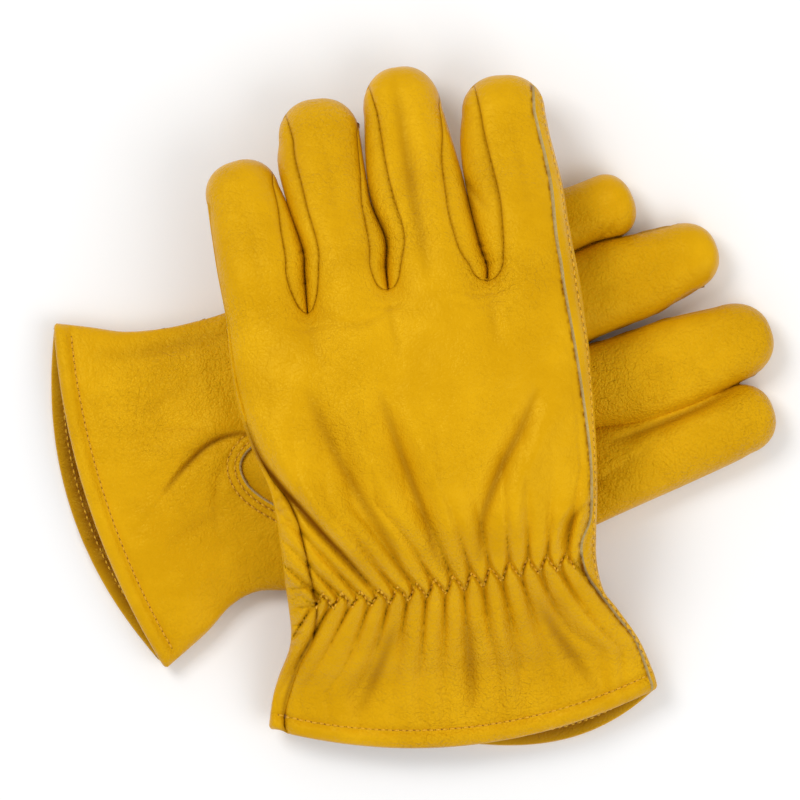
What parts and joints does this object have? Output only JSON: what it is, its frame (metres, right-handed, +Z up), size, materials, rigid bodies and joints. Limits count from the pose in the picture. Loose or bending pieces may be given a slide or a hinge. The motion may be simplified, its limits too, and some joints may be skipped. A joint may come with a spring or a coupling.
{
  "type": "leather work gloves",
  "caption": "Pair of short-cuff leather work gloves lying crossed, with a gathered elastic wrist, keystone thumbs, fourchettes and stitched hems.",
  "frame": {"origin": "the middle of the pair's footprint, on the surface that they lie on", "axes": "+Z up, out of the upper glove's back; +Y roughly along the upper glove's fingers; +X roughly along the lower glove's fingers"},
  "size_m": [0.2568, 0.2452, 0.0634],
  "materials": {
    "back_leather": "soft full-grain goatskin, satin, golden yellow",
    "palm_leather": "soft full-grain goatskin, satin, with pale cut edges",
    "thumb_leather": "soft full-grain goatskin, satin, with a pale cut edge",
    "fourchette_leather": "soft full-grain goatskin, satin",
    "wrist_elastic": "ribbed woven elastic, cream",
    "thread": "twisted golden yellow sewing thread"
  },
  "bodies": {
    "right_glove": {"right_back_panel": "back_leather", "right_fourchette_little_ring": "fourchette_leather", "right_fourchette_middle_index": "fourchette_leather", "right_fourchette_ring_middle": "fourchette_leather", "right_hem_thread": "thread", "right_index_seam_thread": "thread", "right_palm_panel": "palm_leather", "right_thumb": "thumb_leather", "right_thumb_thread_inner": "thread", "right_thumb_thread_outer": "thread", "right_wrist_elastic": "wrist_elastic", "right_wrist_thread": "thread"},
    "left_glove": {"left_back_panel": "back_leather", "left_fourchette_little_ring": "fourchette_leather", "left_fourchette_middle_index": "fourchette_leather", "left_fourchette_ring_middle": "fourchette_leather", "left_hem_thread": "thread", "left_index_seam_thread": "thread", "left_palm_panel": "palm_leather", "left_thumb": "thumb_leather", "left_thumb_thread_inner": "thread", "left_thumb_thread_outer": "thread", "left_wrist_elastic": "wrist_elastic", "left_wrist_thread": "thread"}
  },
  "joints": [
    {"name": "left_glove_lift", "type": "slide", "parent": "right_glove", "child": "left_glove", "axis": [0, 0, 1], "range_m": [0, 0.15]}
  ]
}
